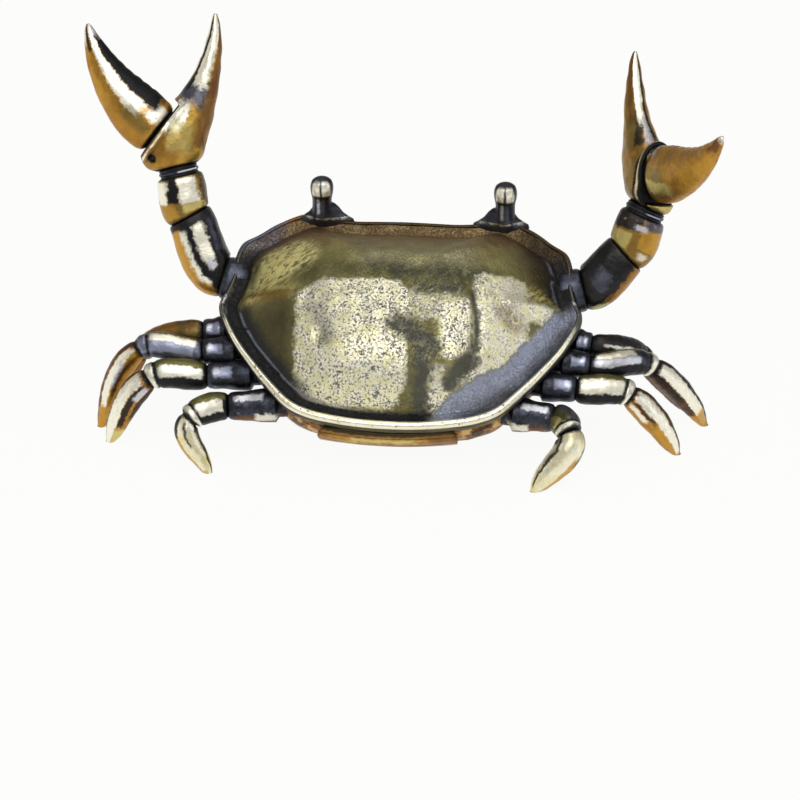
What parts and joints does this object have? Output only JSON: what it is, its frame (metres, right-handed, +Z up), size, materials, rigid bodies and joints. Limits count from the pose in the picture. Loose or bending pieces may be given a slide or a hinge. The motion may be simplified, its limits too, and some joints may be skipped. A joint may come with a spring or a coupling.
{
  "type": "crab figurine",
  "caption": "Small cast brass crab ornament with a domed shell, stalked eyes, raised open claws and jointed legs, standing on its leg tips.",
  "frame": {"origin": "centre of the footprint on the ground, under the leg tips", "axes": "+Z up, +Y the way the crab looks, +X its right side"},
  "size_m": [0.0703, 0.031, 0.0429],
  "materials": {
    "shell_brass": "aged, brushed bright on the back of the dome",
    "dark_brass": "dark patina",
    "tail_brass": "aged",
    "eye_brass": "polished tops, dark stalks",
    "claw_brass": "polished with dark recesses",
    "arm_brass": "polished with dark recesses",
    "leg_brass": "polished with dark recesses"
  },
  "bodies": {
    "root": {"carapace": "shell_brass", "underbody": "dark_brass", "tail_plate": "tail_brass", "eye_left": "eye_brass", "eye_right": "eye_brass", "shoulder_left": "dark_brass", "upper_arm_left": "arm_brass", "forearm_left": "arm_brass", "wrist_left": "dark_brass", "palm_left": "claw_brass", "finger_left": "claw_brass", "shoulder_right": "dark_brass", "upper_arm_right": "arm_brass", "forearm_right": "arm_brass", "wrist_right": "dark_brass", "palm_right": "claw_brass", "finger_right": "claw_brass", "hip_left_1": "dark_brass", "hip_left_2": "dark_brass", "hip_left_3": "dark_brass", "hip_left_4": "dark_brass", "hip_right_1": "dark_brass", "hip_right_2": "dark_brass", "hip_right_3": "dark_brass", "hip_right_4": "dark_brass", "thigh_left_1": "leg_brass", "thigh_left_2": "leg_brass", "thigh_left_3": "leg_brass", "thigh_left_4": "leg_brass", "thigh_right_1": "leg_brass", "thigh_right_2": "leg_brass", "thigh_right_3": "leg_brass", "thigh_right_4": "leg_brass", "shin_left_1": "leg_brass", "shin_left_2": "leg_brass", "shin_left_3": "leg_brass", "shin_left_4": "leg_brass", "shin_right_1": "leg_brass", "shin_right_2": "leg_brass", "shin_right_3": "leg_brass", "shin_right_4": "leg_brass"}
  },
  "joints": []
}
